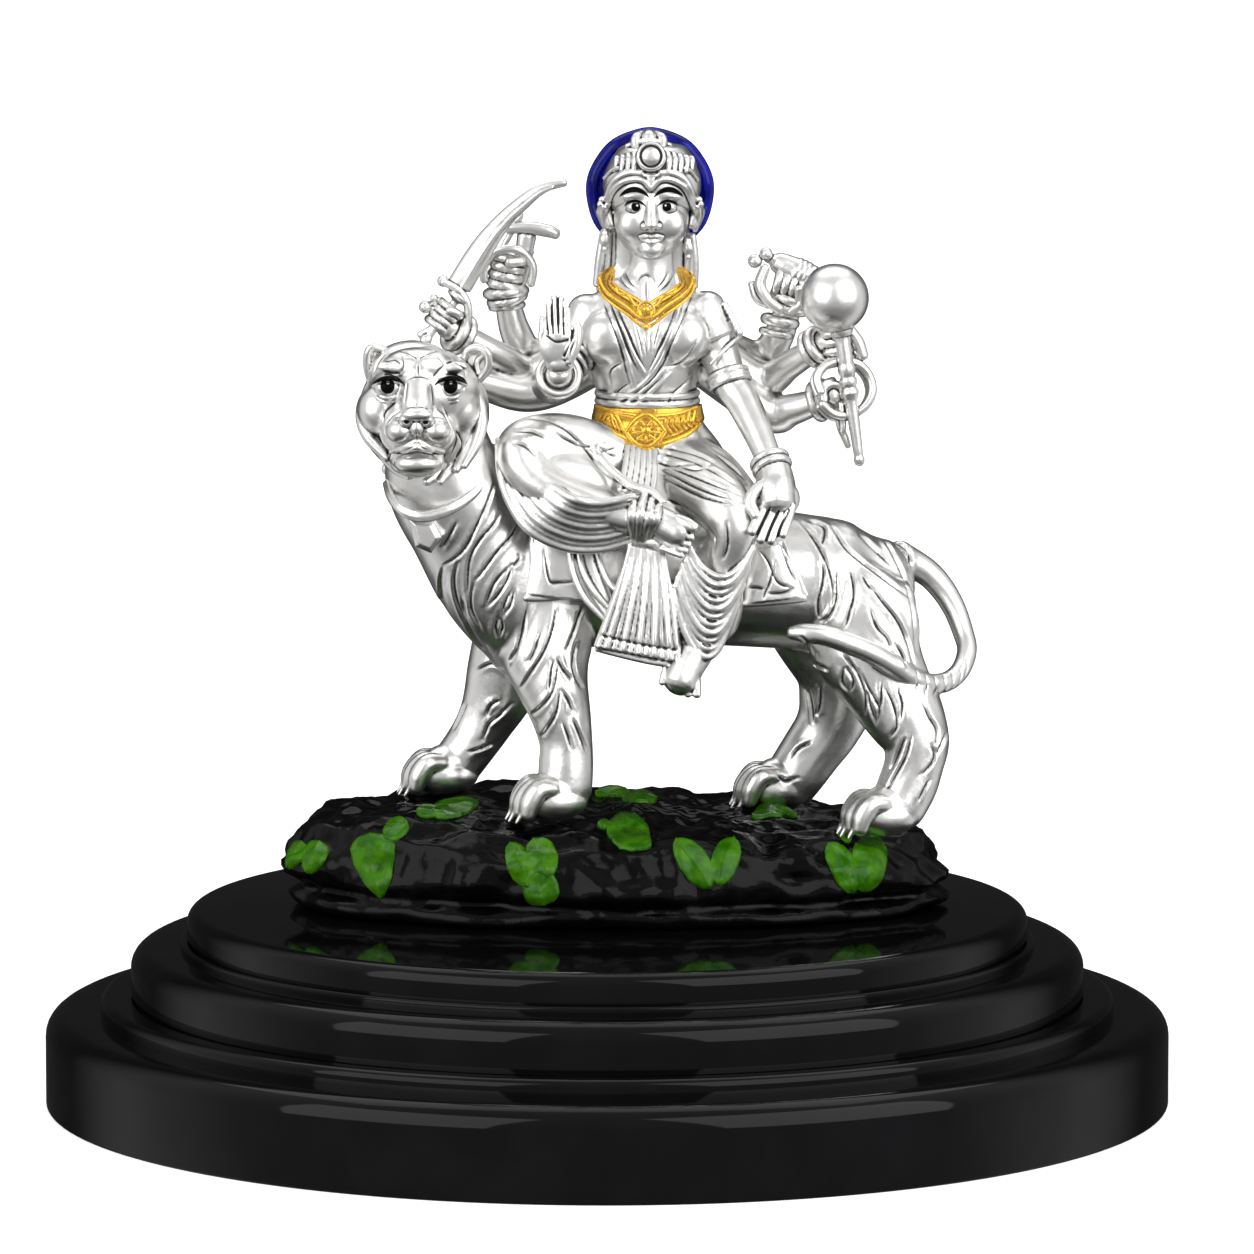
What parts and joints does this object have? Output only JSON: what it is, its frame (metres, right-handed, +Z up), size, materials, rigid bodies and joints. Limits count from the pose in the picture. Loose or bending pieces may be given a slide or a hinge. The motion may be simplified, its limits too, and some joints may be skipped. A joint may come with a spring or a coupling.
{
  "type": "durga figure",
  "caption": "Eight-armed goddess seated sideways on a walking tiger above a leafy rock, a silvered table-top figure on a round, stepped black plinth.",
  "frame": {"origin": "centre of the plinth's underside", "axes": "+Z up, +X towards the tiger's tail, -Y the way the goddess faces"},
  "size_m": [0.1, 0.1, 0.0867],
  "materials": {
    "plinth": "black piano lacquer",
    "idol": "satin silver plating over a resin casting, with gold, blue, green and black enamel"
  },
  "bodies": {
    "root": {"plinth": "plinth", "idol": "idol"}
  },
  "joints": []
}
